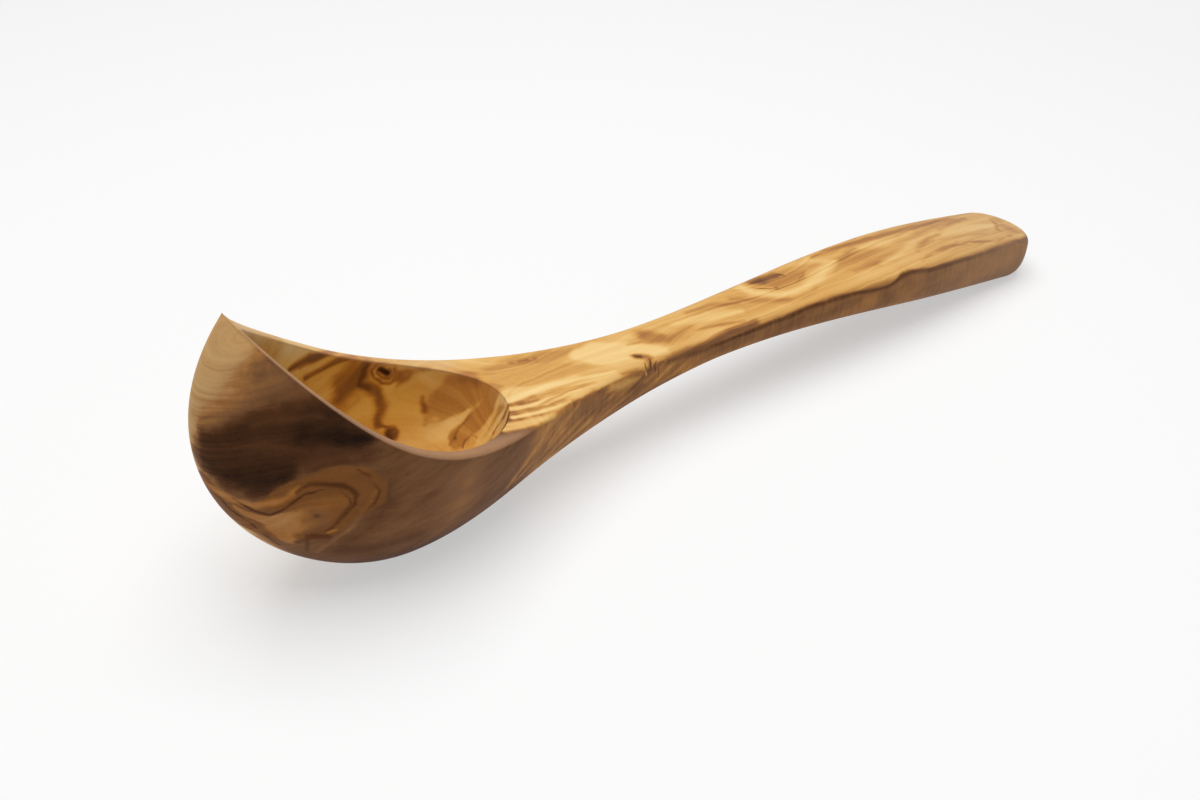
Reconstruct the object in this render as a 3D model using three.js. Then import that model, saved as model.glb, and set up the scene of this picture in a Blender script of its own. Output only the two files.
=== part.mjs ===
// Wooden ladle, carved from one billet: a deep bowl with a pointed lip, a slim neck and a flat-topped handle.
// Millimetres. +Z is up and +X runs from the lip to the end of the handle. The origin lies under the middle
// of the ladle, on the surface that it rests on.
import * as THREE from 'three';
import { mergeVertices } from 'three/addons/utils/BufferGeometryUtils.js';

// Places along the ladle: bowl and neck are measured from the tip of the lip, the grip from the handle's end
const TIP_TO_END = 292;
const MOUTH_FRONT = 3.2;
const BOWL_WIDEST = 33.5;
const BOWL_BOTTOM = 38;
const MOUTH_BACK = 74.5;
const SHOULDER = 86;
const NECK = 131;
const ARCH = 149.5;
const GRIP_CROWN_TO_END = 97;
const GRIP_WIDEST_TO_END = 59.5;
const END_ROUND = 12;

// Heights above the table
const TIP_HEIGHT = 89;
const SHOULDER_HEIGHT = 33.3;
const ARCH_HEIGHT = 18.6;
const GRIP_HEIGHT = 28;
const END_HEIGHT = 14.7;

// Widths across the top
const BOWL_WIDTH = 60.5;
const SHOULDER_WIDTH = 32.6;
const NECK_WIDTH = 20;
const GRIP_WIDTH = 28.8;
const END_WIDTH = 26.2;

// Walls, rounded edges, and the depth of the flats sanded under the bowl and the heel of the handle
const RIM_WALL = 3.7;
const FLOOR_WALL = 6;
const RIM_EDGE = 1.3;
const GRIP_EDGE = 3;
const FLAT_DEPTH = 0.7;

// Slopes of the lines where they pass those places
const LIP_FALL = -1.65;
const SHOULDER_FALL = -0.1;
const GRIP_FALL = -0.047;
const END_FALL = -0.26;
const HEEL_FALL = -0.137;
const LIP_FLARE = 1.96;
const SHOULDER_TAPER = -0.29;

// The breast leaves the tip forward and down at this angle. The lengths say how far each curve holds its
// direction: the breast below the tip, the belly ahead of the bottom, and the hollow's floor and back wall.
const BREAST_ANGLE = THREE.MathUtils.degToRad(50.5);
const BREAST_REACH = 51.7;
const BELLY_REACH = 35.2;
const FLOOR_REACH = 20;
const BACK_WALL_REACH = 14;
const BACK_WALL_ANGLE = THREE.MathUtils.degToRad(60);

// Cross sections: how far the floor stays level, how far the side stays upright, and how the side flares
const BOWL_SECTION = { floor: 0.593, side: 0.516, flare: -0.168 };
const GRIP_SECTION = { floor: 0.8, side: 0.77, flare: 0 };
const SECTION_LEAD = 10; // the change starts this far ahead of the shoulder and ends this far past the neck

// Facets
const BOWL_RIBS = 36;
const HANDLE_RIBS = 27;
const END_RIBS = 7;
const SIDE_FACETS = 11;
const EDGE_FACETS = 3;
const DECK_FACETS = 2;
const EDGE_SHARE = 0.4; // a rounded edge takes at most this share of the half width
const MOUTH_PACE = 0.6; // the pace at which points leave the mouth's front, beside the rim's even pace
const LEAN_FADE = 6; // the power with which the leaning rows behind the mouth straighten out

const endCentre = TIP_TO_END - END_ROUND;
const gripCrown = TIP_TO_END - GRIP_CROWN_TO_END;
const gripWidest = TIP_TO_END - GRIP_WIDEST_TO_END;

// A fair line through knots [place, value, slope], read at a place along the ladle
function fairLine(knots) {
  const spans = knots.slice(1).map((to, i) => {
    const from = knots[i];
    const third = (to[0] - from[0]) / 3;
    return {
      from: from[0],
      to: to[0],
      curve: new THREE.CubicBezierCurve(
        new THREE.Vector2(from[0], from[1]),
        new THREE.Vector2(from[0] + third, from[1] + third * from[2]),
        new THREE.Vector2(to[0] - third, to[1] - third * to[2]),
        new THREE.Vector2(to[0], to[1]),
      ),
    };
  });
  return (x) => {
    const span = spans.find((candidate) => x <= candidate.to) ?? spans.at(-1);
    return span.curve.getPoint((x - span.from) / (span.to - span.from)).y;
  };
}

// Side view: the rim and the top of the handle, then the underside from the bowl's bottom to the heel
const topLine = fairLine([
  [0, TIP_HEIGHT, LIP_FALL],
  [SHOULDER, SHOULDER_HEIGHT, SHOULDER_FALL],
  [gripCrown, GRIP_HEIGHT, GRIP_FALL],
  [TIP_TO_END, END_HEIGHT, END_FALL],
]);
const underLine = fairLine([
  [BOWL_BOTTOM, -FLAT_DEPTH, 0],
  [ARCH, ARCH_HEIGHT, 0],
  [endCentre, -FLAT_DEPTH, HEEL_FALL],
]);

// Plan view: half the width of the top, and half the width of the mouth, whose back is half an ellipse
const halfWidth = fairLine([
  [0, 0, LIP_FLARE],
  [BOWL_WIDEST, BOWL_WIDTH / 2, 0],
  [SHOULDER, SHOULDER_WIDTH / 2, SHOULDER_TAPER],
  [NECK, NECK_WIDTH / 2, 0],
  [gripWidest, GRIP_WIDTH / 2, 0],
  [endCentre, END_WIDTH / 2, 0],
]);
const mouthHalf = BOWL_WIDTH / 2 - RIM_WALL;
const mouthFrontHalf = fairLine([
  [MOUTH_FRONT, 0, LIP_FLARE],
  [BOWL_WIDEST, mouthHalf, 0],
]);

function mouthHalfWidth(x) {
  if (x <= BOWL_WIDEST) return mouthFrontHalf(x);
  const along = (x - BOWL_WIDEST) / (MOUTH_BACK - BOWL_WIDEST);
  return mouthHalf * Math.sqrt(Math.max(0, 1 - along * along));
}

// A point on the top, at a place along the ladle and a distance from its middle
function onTop(x, y) {
  return new THREE.Vector3(x, y, topLine(x));
}

// The keel ahead of a bottom point: down from the tip, round the swelling breast and back along the belly
function frontKeel(tip, bottom, breastReach, bellyReach) {
  const breast = new THREE.Vector3(-Math.cos(BREAST_ANGLE), 0, -Math.sin(BREAST_ANGLE));
  return new THREE.CubicBezierCurve3(
    tip,
    breast.multiplyScalar(breastReach).add(tip),
    new THREE.Vector3(bottom.x - bellyReach, 0, bottom.z),
    bottom,
  );
}

// Runs from 0 to 1 and arrives at a given rate, so that the ribs keep an even step past the bottom
function arriveAt(rate, t) {
  return (2 - rate) * t + (rate - 1) * t * t;
}

const outerBottom = new THREE.Vector3(BOWL_BOTTOM, 0, -FLAT_DEPTH);
const outerFront = frontKeel(onTop(0, 0), outerBottom, BREAST_REACH, BELLY_REACH);
const mouthFront = onTop(MOUTH_FRONT, 0);
const mouthBack = onTop(MOUTH_BACK, 0);
const hollowBottom = new THREE.Vector3((MOUTH_FRONT + MOUTH_BACK) / 2, 0, FLOOR_WALL);
const hollowBelly = BELLY_REACH - FLOOR_WALL;
const hollowFront = frontKeel(mouthFront, hollowBottom, BREAST_REACH - RIM_WALL, hollowBelly);
const hollowBack = new THREE.CubicBezierCurve3(
  hollowBottom,
  new THREE.Vector3(hollowBottom.x + FLOOR_REACH, 0, hollowBottom.z),
  new THREE.Vector3(
    mouthBack.x - BACK_WALL_REACH * Math.cos(BACK_WALL_ANGLE),
    0,
    mouthBack.z - BACK_WALL_REACH * Math.sin(BACK_WALL_ANGLE),
  ),
  mouthBack,
);

function outerKeel(x) {
  if (x >= BOWL_BOTTOM) return new THREE.Vector3(x, 0, underLine(x));
  return outerFront.getPoint(arriveAt(BOWL_BOTTOM / (3 * BELLY_REACH), x / BOWL_BOTTOM));
}

function hollowKeel(s) {
  if (s >= 0.5) return hollowBack.getPoint(2 * s - 1);
  return hollowFront.getPoint(arriveAt(FLOOR_REACH / hollowBelly, 2 * s));
}

// One rib, as points from the keel to the upper edge. reach is the level way from the keel out to the edge.
function rib(keel, edge, reach, section) {
  const rise = edge.clone().sub(keel).sub(reach);
  const floorHandle = keel.clone().addScaledVector(reach, section.floor);
  const sideHandle = edge.clone().addScaledVector(reach, section.flare).addScaledVector(rise, -section.side);
  return new THREE.CubicBezierCurve3(keel, floorHandle, sideHandle, edge).getPoints(SIDE_FACETS);
}

// The bowl's section and slim rim turn into the grip's section and fuller edge along the neck
function sectionAt(x) {
  const grip = THREE.MathUtils.smoothstep(x, SHOULDER - SECTION_LEAD, NECK + SECTION_LEAD);
  const mix = (key) => THREE.MathUtils.lerp(BOWL_SECTION[key], GRIP_SECTION[key], grip);
  return {
    floor: mix('floor'),
    side: mix('side'),
    flare: mix('flare'),
    edgeRound: THREE.MathUtils.lerp(RIM_EDGE, GRIP_EDGE, grip),
  };
}

// One row of the outer skin: up the rib, round the edge and across the top to the inner point
function skinRow({ keel, outline, reach, normal, inner }) {
  const section = sectionAt(outline.x);
  const round = Math.min(section.edgeRound, EDGE_SHARE * reach.length());
  const edge = onTop(outline.x, outline.y);
  edge.z -= round;
  const row = rib(keel, edge, reach, section);
  for (let k = 1; k <= EDGE_FACETS; k += 1) {
    const turn = (k / EDGE_FACETS) * (Math.PI / 2);
    const inset = outline.clone().addScaledVector(normal, -round * (1 - Math.cos(turn)));
    const point = onTop(inset.x, inset.y);
    point.z -= round * (1 - Math.sin(turn));
    row.push(point);
  }
  const deckEdge = row.at(-1);
  for (let k = 1; k <= DECK_FACETS; k += 1) {
    const across = deckEdge.clone().lerp(inner, k / DECK_FACETS);
    row.push(onTop(across.x, across.y));
  }
  for (const point of row) point.z = Math.max(point.z, 0);
  return row;
}

// The plan outline's outward normal at a place along the side
function sideNormal(x) {
  const step = 0.01;
  const slope = (halfWidth(x + step) - halfWidth(x - step)) / (2 * step);
  return new THREE.Vector2(-slope, 1).normalize();
}

// A station along the side, whose rib stands square to the ladle
function sideStation(x, inner) {
  const half = halfWidth(x);
  return {
    keel: outerKeel(x),
    outline: new THREE.Vector2(x, half),
    reach: new THREE.Vector3(0, half, 0),
    normal: sideNormal(x),
    inner,
  };
}

// The mouth's edge, from its front (s = 0) to its back (s = 1), in step with the rim beside it
function mouthPoint(s) {
  const eased = MOUTH_PACE * s * (1 - s) ** 2 + s * s * (3 - 2 * s);
  const x = THREE.MathUtils.lerp(MOUTH_FRONT, MOUTH_BACK, eased);
  return onTop(x, mouthHalfWidth(x));
}

const steps = (count) => Array.from({ length: count }, (_, i) => (i + 1) / count);

// The bowl's rows: the skin runs from the keel to the mouth's edge, the hollow from there to its own keel
function bowlSkin(s) {
  return skinRow(sideStation(s * SHOULDER, mouthPoint(s)));
}

function hollowRow(s) {
  const mouth = mouthPoint(s);
  return rib(hollowKeel(s), mouth, new THREE.Vector3(0, mouth.y, 0), BOWL_SECTION).reverse();
}

// Behind the mouth the rows across the top lean back to it, and straighten out along the neck
function handleSkin(t) {
  const x = THREE.MathUtils.lerp(SHOULDER, endCentre, t);
  const lean = (SHOULDER - MOUTH_BACK) * (1 - t) ** LEAN_FADE;
  return skinRow(sideStation(x, onTop(x - lean, 0)));
}

// The rounded end: the ribs turn about an upright line through the end's centre
function endSkin(t) {
  const turn = (t * Math.PI) / 2;
  const reach = new THREE.Vector3(END_ROUND * Math.sin(turn), (END_WIDTH / 2) * Math.cos(turn), 0);
  return skinRow({
    keel: outerKeel(endCentre),
    outline: new THREE.Vector2(endCentre + reach.x, reach.y),
    reach,
    normal: new THREE.Vector2(Math.sin(turn) / END_ROUND, Math.cos(turn) / (END_WIDTH / 2)).normalize(),
    inner: onTop(endCentre, 0),
  });
}

const bowlSteps = [0, ...steps(BOWL_RIBS)];
const skin = [
  ...bowlSteps.map(bowlSkin),
  ...steps(HANDLE_RIBS).map(handleSkin),
  ...steps(END_RIBS).map(endSkin),
];
const hollow = bowlSteps.map(hollowRow);

// Two triangles for each cell of a grid of rows, on the near side or mirrored to the far side
function addSide(triangles, rows, mirror) {
  const place = (point) => (mirror ? point.clone().setY(-point.y) : point);
  for (let i = 0; i + 1 < rows.length; i += 1) {
    for (let j = 0; j + 1 < rows[i].length; j += 1) {
      const [a, b, c, d] = [rows[i][j], rows[i][j + 1], rows[i + 1][j + 1], rows[i + 1][j]].map(place);
      triangles.push(...(mirror ? [a, c, b, a, d, c] : [a, b, c, a, c, d]));
    }
  }
}

// Both sides of the skin and the hollow, sewn into one closed body
function carve() {
  const points = [];
  for (const rows of [skin, hollow]) {
    addSide(points, rows, false);
    addSide(points, rows, true);
  }
  const sewn = mergeVertices(new THREE.BufferGeometry().setFromPoints(points));
  const corners = sewn.getIndex().array;
  const kept = [];
  for (let k = 0; k < corners.length; k += 3) {
    const [a, b, c] = corners.slice(k, k + 3);
    if (a !== b && b !== c && c !== a) kept.push(a, b, c);
  }
  sewn.setIndex(kept);
  sewn.computeVertexNormals();
  return sewn;
}

const oliveWood = new THREE.MeshStandardMaterial({ color: 0xa9713d, roughness: 0.5, metalness: 0 });
const ladle = new THREE.Mesh(carve(), oliveWood);
ladle.name = 'ladle';

// Centre the ladle's length on the origin
ladle.geometry.computeBoundingBox();
const extent = ladle.geometry.boundingBox;
ladle.position.x = -(extent.min.x + extent.max.x) / 2;

const group = new THREE.Group();
group.add(ladle);

export default group;
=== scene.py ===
"""A ladle carved from one billet of olive wood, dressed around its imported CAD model."""
import math
from types import SimpleNamespace

import bmesh
import bpy
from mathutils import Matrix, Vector


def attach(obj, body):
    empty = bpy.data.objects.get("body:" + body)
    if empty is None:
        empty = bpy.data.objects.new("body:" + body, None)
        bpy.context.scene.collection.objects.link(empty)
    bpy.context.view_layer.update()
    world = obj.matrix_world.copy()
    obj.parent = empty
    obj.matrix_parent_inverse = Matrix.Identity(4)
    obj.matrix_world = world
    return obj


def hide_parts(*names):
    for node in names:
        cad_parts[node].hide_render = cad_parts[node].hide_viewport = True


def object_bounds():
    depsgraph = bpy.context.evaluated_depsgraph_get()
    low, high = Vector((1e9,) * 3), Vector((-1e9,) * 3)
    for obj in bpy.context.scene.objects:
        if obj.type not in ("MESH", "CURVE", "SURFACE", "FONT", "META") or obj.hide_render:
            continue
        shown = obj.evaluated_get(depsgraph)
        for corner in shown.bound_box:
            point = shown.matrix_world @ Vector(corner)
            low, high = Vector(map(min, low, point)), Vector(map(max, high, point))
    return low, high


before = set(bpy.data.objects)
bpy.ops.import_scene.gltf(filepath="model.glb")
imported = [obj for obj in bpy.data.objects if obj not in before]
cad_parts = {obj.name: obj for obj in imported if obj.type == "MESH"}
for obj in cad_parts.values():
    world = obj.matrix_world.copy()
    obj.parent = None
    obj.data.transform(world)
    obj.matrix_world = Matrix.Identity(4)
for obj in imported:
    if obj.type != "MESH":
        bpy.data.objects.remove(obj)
cad_box = [list(corner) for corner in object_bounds()]

MM = 0.001

# Sizes of the carving in millimetres. Places run from the tip of the lip.
# Falls, flares and tapers are slopes: height or width per length.
SIZES = {
    "tip_to_end": 292.0,
    "mouth_front": 3.2,
    "mouth_nose": 0.7,
    "bowl_widest": 33.5,
    "bowl_bottom": 38.0,
    "mouth_back": 74.5,
    "shoulder": 86.0,
    "neck": 131.0,
    "arch": 149.5,
    "grip_crown": 195.0,
    "grip_widest": 232.5,
    "end_centre": 280.0,
    "tip_height": 89.0,
    "shoulder_height": 33.3,
    "arch_height": 18.6,
    "grip_height": 28.0,
    "end_height": 14.7,
    "bowl_width": 60.5,
    "shoulder_width": 32.6,
    "neck_width": 20.0,
    "grip_width": 28.8,
    "end_width": 26.2,
    "rim_wall": 3.7,
    "floor_wall": 6.0,
    "rim_edge": 1.3,
    "mouth_edge": 0.6,
    "grip_edge": 3.0,
    "grip_swell": 0.4,
    "flat_depth": 0.7,
    "lip_fall": -1.65,
    "shoulder_fall": -0.1,
    "grip_fall": -0.047,
    "end_fall": -0.26,
    "heel_fall": -0.137,
    "lip_flare": 1.96,
    "shoulder_taper": -0.29,
    "breast_reach": 51.7,
    "belly_reach": 35.2,
    "floor_reach": 20.0,
    "back_wall_reach": 14.0,
    "knife_wave": 0.12,
}
BREAST_ANGLE = math.radians(50.5)
BACK_WALL_ANGLE = math.radians(60)
BOWL_SECTION = {"floor": 0.593, "side": 0.516, "flare": -0.168}
GRIP_SECTION = {"floor": 0.8, "side": 0.77, "flare": 0.0}
SECTION_LEAD = 10.0
EDGE_SHARE = 0.4
MOUTH_PACE = 0.6
LEAN_FADE = 6.0
TIP_CROWDING = 1.5
KNIFE_SEED = 4.0
KNIFE_SCALE = 0.045
FLAT_FADE = (0.2, 3.0)
MOUTH_STEP = 0.002
WIDTH_STEP = 0.01
SEWING_GAP = 0.004
SLIVER = 1e-7

# Facets along the skin's side, its rounded end and the hollow, and across their ribs, edges and tops
SIDE_ROWS = 400
END_ROWS = 30
SIDE_SHARE = SIDE_ROWS / (SIDE_ROWS + END_ROWS)
HOLLOW_ROWS = 180
SKIN_FACETS = (48, 8, 10)
HOLLOW_FACETS = (46, 6, 0)

# The wood's tones, palest sapwood to darkest heartwood: place, then linear red, green and blue
TONES = [
    (0.00, 0.90, 0.66, 0.31),
    (0.20, 0.80, 0.52, 0.20),
    (0.35, 0.68, 0.375, 0.11),
    (0.50, 0.46, 0.205, 0.058),
    (0.65, 0.25, 0.113, 0.045),
    (0.80, 0.118, 0.044, 0.015),
    (1.00, 0.017, 0.006, 0.002),
]
HEARTWOOD_TONE = 0.71
SIDE_TONE = 0.56
WARM_TINT = (1.03, 0.83, 0.40, 1.0)
# Pinkish grey of the painted sheen on the rim, far edge and end, which also dulls the pale tip
SHEEN_AND_DULL_TINT = (0.52, 0.36, 0.25, 1.0)

# How far the grain wanders, where the pith lies across the bowl and how wide a ring is, in millimetres
WIDE_SWING = (9.0, 6.0, 6.0)
FINE_SWING = (3.0, 1.6, 1.6)
STROKE_SWING = (3.0, 1.8, 1.8)
PITH = (-4.0, 84.0)
RING_WIDTH = 5.0
GRAIN_WIDTH = 2.4

# Where each look of the wood sets in along the ladle and where it is full: millimetres from the origin
FADES = {
    "tip": (-130.0, -140.0),
    "near_wall": (-56.0, -72.0),
    "rim": (-64.0, -72.0),
    "rim_corner": (-100.0, -84.0),
    "neck": (12.0, -12.0),
    "near_handle": (-72.0, -58.0),
    "far_handle": (-68.0, -5.0),
    "flowing_grain": (-74.0, -56.0),
    "grip": (-20.0, 30.0),
    # Painted sheen towards the handle's end
    "end_sheen": (60.0, 150.0),
}

# The outline of the eye low on the bowl: places and radii in millimetres
EYE = [
    (-122.4, -22.9, 41.4, 8.6), (-125.4, -21.4, 41.3, 9.4), (-132.5, -16.9, 36.1, 11.2),
    (-140.8, -11.1, 32.8, 7.6), (-146.9, -5.6, 35.3, 5.2), (-150.3, -2.7, 41.7, 4),
    (-151.4, -1, 45.9, 2.6),
]

# Figure of the billet in millimetres, laid in this order: softness, tone, and a path of places and radii
STROKES = [
    # The near wall of the bowl: a very dark core under the tan tip, brown towards the neck
    (5.0, 0.6, [(-131.1, -13.8, 75.4, 2), (-138, -10.3, 71.8, 4), (-147.6, -5.4, 66.8, 5)]),
    (3.5, 0.74, [(-130.9, -15.2, 72.2, 1.5), (-134.1, -14, 68.9, 2.5), (-140.3, -10.9, 65.1, 2.5)]),
    (3.8, 0.91, [
        (-148.9, -6.1, 59.3, 3), (-141.1, -11.4, 61.7, 4), (-132.1, -16.8, 63.9, 4.8),
        (-123.9, -22.4, 64.7, 5),
    ]),
    (4.0, 0.9, [
        (-151.1, -4.3, 54.6, 4.5), (-142.7, -11.2, 56.8, 5.5), (-133.2, -17.2, 56.8, 5.5),
        (-122.8, -23.7, 56.7, 5),
    ]),
    (3.0, 0.94, [(-149.5, -6, 50.1, 3.2), (-142.2, -12, 49.2, 4.2), (-137.2, -15.2, 50.7, 3.2)]),
    (2.5, 1.0, [(-131.1, -18.1, 60.6, 1.4), (-124.1, -22.8, 60, 2.6), (-118.7, -26.4, 58.5, 1.6)]),
    (1.5, 0.84, [(-139.7, -13.2, 55.5, 0.3), (-131, -18.7, 55.5, 0.6), (-123, -23.7, 54.9, 0.3)]),
    (1.4, 0.8, [(-140.8, -11.2, 63.1, 0.4), (-135, -14.6, 64.8, 0.8), (-127.3, -19.9, 65.1, 0.5)]),
    (1.2, 0.82, [(-145.3, -9.3, 57.7, 0.3), (-139.4, -13.2, 58, 0.6), (-131.3, -18.4, 55.6, 0.4)]),
    (1.4, 0.79, [(-131.4, -18.7, 51.9, 0.4), (-123.9, -23, 52.9, 0.8), (-116.4, -27.4, 54.9, 0.5)]),
    (4.0, 0.76, [(-124.4, -14.3, 15.8, 2.5), (-115.5, -18.3, 16, 3), (-105.3, -21.5, 17.7, 2)]),
    (6.0, 0.62, [(-91.3, -27, 35.1, 5), (-94.8, -22.4, 19.1, 5)]),
    (7.0, 0.32, [(-136.5, -5, 83.7, 4.2), (-143.3, -3.2, 79.7, 5.2), (-148.6, -0.5, 73.3, 4.8)]),
    (1.2, 0.57, [(-149.1, -3.5, 68, 0.3), (-143.9, -7.1, 69.9, 0.4), (-138.5, -9.6, 72.8, 0.3)]),
    (1.2, 0.66, [(-150.1, -3.5, 64.9, 0.3), (-143.8, -8.1, 67, 0.4), (-137.1, -11.8, 69.4, 0.3)]),
    (2.0, 0.93, [(-143.3, -11.3, 43.8, 1.5), (-138, -14.7, 48, 2.4), (-134.9, -16.5, 50.3, 1.8)]),
    (2.2, 0.8, [
        (-132.3, -18.1, 52.1, 1.6), (-127.8, -20.8, 53.7, 2), (-123.2, -23.5, 53.7, 2),
        (-118.6, -26, 51.6, 1.4),
    ]),
    (3.0, 0.775, [
        (-114.3, -26.4, 41.1, 1.6), (-115.2, -24.4, 33.3, 2.2), (-118.9, -21.4, 27.1, 2),
        (-124.9, -15.7, 18.6, 1.6),
    ]),
    # The eye low on the near side: amber outside, honey inside, dark lines between, a small knot
    (0.7, 0.68, EYE),
    (1.0, 0.5, [
        (-151.6, 0.2, 45.5, 1), (-150.2, -4.1, 43.9, 1.3), (-147.3, -7.2, 41, 1.3),
        (-143.3, -10.5, 39.4, 1.1), (-138.1, -14.3, 40.9, 1), (-133.7, -17.2, 44.4, 0.6),
    ]),
    (0.7, 0.82, [
        (-134.6, -16.5, 42.9, 0.3), (-131.6, -18.4, 45.9, 0.5), (-129.1, -19.9, 45.8, 0.9),
        (-126, -21.5, 44.6, 1.1), (-123, -22.8, 42.9, 0.8), (-121.6, -23.1, 40.3, 0.5),
        (-122.4, -22.3, 37, 0.45), (-125, -20.3, 32.7, 0.4), (-127.6, -18.1, 29.3, 0.3),
    ]),
    (0.5, 0.8, [
        (-121.7, -24, 49.1, 0.2), (-119.2, -25.2, 47, 0.3), (-116.5, -25.5, 40.8, 0.3),
        (-117.6, -24.2, 36.8, 0.25), (-121.8, -21.4, 31.5, 0.2),
    ]),
    (0.6, 0.64, [(-125.5, -20.9, 38.5, 2.5), (-129.5, -18.6, 36.3, 4.8), (-133.4, -16.3, 34.5, 5)]),
    (1.6, 0.59, [(-129.5, -18.6, 36.3, 2), (-132.6, -16.8, 34.8, 3.6)]),
    (1.2, 0.515, [
        (-133.4, -16, 33.5, 2.6), (-135.5, -14.6, 33, 4), (-138.4, -12.3, 31, 4),
        (-136.5, -11.4, 25.2, 2),
    ]),
    (0.5, 0.5, [
        (-136.8, -14, 33.4, 3.4), (-141.2, -11.1, 33.6, 2), (-144.5, -8.5, 35.8, 1.2),
        (-147, -6.9, 38.8, 0.6),
    ]),
    (0.4, 0.86, [
        (-147.3, -7.3, 41.8, 0.25), (-143.8, -9.9, 37.7, 0.35), (-140.7, -11.8, 36, 0.4),
        (-138.3, -13.8, 37.3, 0.4), (-135.6, -15.6, 40, 0.35), (-132.6, -17.7, 42.7, 0.35),
        (-129.2, -19.7, 43.8, 0.25),
    ]),
    (0.4, 0.8, [
        (-129.2, -19.7, 43.8, 0.25), (-125.9, -21.4, 42.6, 0.25), (-123.4, -22.2, 39.4, 0.3),
        (-123.2, -21.8, 37, 0.3), (-125.2, -20.4, 33.5, 0.3), (-127.3, -18.3, 29.2, 0.3),
        (-129, -17, 28, 0.2),
    ]),
    (2.2, 0.66, [(-133, -16.2, 32.9, 1), (-130, -18.1, 34.3, 2)]),
    (1.0, 0.82, [(-130.4, -17.8, 34.5, 0.5)]),
    (0.4, 0.88, [
        (-150.9, -1.1, 42.9, 0.35), (-149.1, -4.1, 40.2, 0.35), (-146.2, -6.3, 35.2, 0.35),
        (-142.9, -7.9, 29.7, 0.3), (-137.7, -8.5, 22.1, 0.4),
    ]),
    (0.7, 0.79, [(-134.8, -12.2, 24.2, 0.9), (-131.6, -15.3, 26.7, 1.4), (-128.1, -16.8, 25.6, 1)]),
    (0.5, 0.8, [(-132.9, -14.7, 27.3, 0.6), (-132.3, -11.7, 19.8, 0.5)]),
    (0.8, 0.62, [
        (-130, -12.5, 18.5, 0.4), (-126.7, -17, 24, 0.6), (-122.4, -20.8, 30.1, 0.5),
        (-118.8, -23.7, 36.7, 0.4), (-117.7, -25, 41.1, 0.3),
    ]),
    (0.4, 0.5, [(-128.1, -17.3, 27.4, 0.5), (-126.7, -18.4, 28.3, 0.4)]),
    # The hollow's far wall: tan towards the lip, slanting dark streaks, a ringed knot and its tail
    (5.2, 0.08, [(-113.4, 25, 53.2, 4.8), (-107.6, 26, 49.1, 4.8)]),
    (3.9, 0.26, [(-97.9, 22.3, 30.9, 3.6), (-87.2, 19.7, 27.8, 7.2), (-83.1, 15.6, 22.1, 7.2)]),
    (2.08, 0.16, [(-87.1, 15.2, 18.5, 2.64), (-80.6, 11.4, 18.5, 3.12), (-76.4, 8.5, 20.3, 2.16)]),
    (0.91, 0.67, [(-114.1, 24.3, 48.7, 0.72), (-107.3, 26, 48.2, 1.44), (-100.3, 27.3, 46.7, 1.68)]),
    (0.65, 0.58, [(-111.1, 24.9, 47.2, 0.36), (-101.6, 26.3, 47.2, 0.6)]),
    (0.91, 0.66, [
        (-110.6, 24.5, 44.1, 0.72), (-103, 25.6, 43.9, 1.08), (-98.3, 25.8, 44.5, 1.32),
        (-95.2, 26.9, 43.9, 1.32),
    ]),
    (0.52, 0.45, [(-108.8, 24.8, 44.1, 0.24), (-96.6, 26, 44.6, 0.42)]),
    (0.65, 0.22, [(-111.4, 24.6, 46.1, 0.48), (-105.7, 25.7, 46.1, 0.72), (-99.3, 26.4, 46, 0.72)]),
    (0.78, 0.28, [(-109.6, 24.3, 42.1, 0.72), (-102.3, 25.3, 42.2, 1.08), (-95.3, 25.2, 42.6, 1.08)]),
    (3.12, 0.6, [
        (-102.2, 23.2, 33.8, 2.4), (-99.2, 23.9, 36.6, 4.08), (-94.7, 24.5, 39.2, 3.84),
        (-91.7, 24.8, 41.8, 1.92),
    ]),
    (1.82, 0.64, [(-91.2, 24.4, 40.6, 1.08), (-94, 23.7, 36.4, 1.68), (-91.9, 22.5, 33.1, 1.68)]),
    (0.65, 0.76, [
        (-90.9, 24.4, 41.2, 0.36), (-92.8, 24.3, 39.5, 0.6), (-94.7, 23.5, 35.9, 0.72),
        (-92.4, 22.6, 33.3, 0.84), (-91.1, 22.1, 32.4, 0.72),
    ]),
    (0.78, 0.4, [(-87.9, 22.9, 37.5, 4.08)]),
    (0.52, 0.68, [
        (-86, 23.6, 39.9, 0.24), (-89, 23.9, 40.2, 0.42), (-91, 23.8, 38.7, 0.42),
        (-91.1, 23.3, 36.3, 0.42), (-89.5, 22.4, 34.4, 0.48), (-86.9, 21.7, 33.8, 0.36),
        (-85.3, 21.6, 34.8, 0.36), (-85, 22.2, 37.4, 0.36),
    ]),
    (0.52, 0.66, [
        (-87, 23.1, 39.1, 0.24), (-88.7, 23.6, 39.2, 0.36), (-89.8, 23.4, 37.8, 0.36),
        (-89.2, 22.9, 35.9, 0.36), (-87.3, 22.2, 35.2, 0.36), (-86.1, 22.2, 36.2, 0.3),
        (-86.2, 22.7, 38, 0.24),
    ]),
    (0.65, 0.97, [(-88.6, 23.3, 38.3, 0.72), (-87.5, 22.8, 37, 0.96)]),
    (1.56, 0.55, [
        (-91.1, 22.4, 33.1, 0.96), (-91, 21.5, 30.2, 1.8), (-91.3, 20.4, 27.3, 1.92),
        (-92.7, 19.5, 24.1, 1.08),
    ]),
    (1.04, 0.68, [
        (-91.3, 22.4, 33.2, 0.6), (-91, 21.5, 30.6, 0.84), (-91.5, 21, 28.9, 0.72),
        (-91.1, 20.5, 27.4, 1.08), (-92.5, 19.9, 25.4, 0.72), (-92.8, 19.3, 23.6, 0.96),
    ]),
    (0.65, 0.64, [(-92.8, 19.3, 23.6, 0.48), (-90.8, 18.3, 22.2, 0.48)]),
    (0.91, 0.66, [(-89.9, 17.3, 20.7, 2.04)]),
    (0.65, 0.8, [(-90.4, 17.8, 21.6, 0.36), (-91.3, 17.7, 20.8, 0.42), (-90.6, 16.9, 19.7, 0.36)]),
    (0.52, 0.52, [(-89.2, 17.2, 20.9, 0.48)]),
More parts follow.
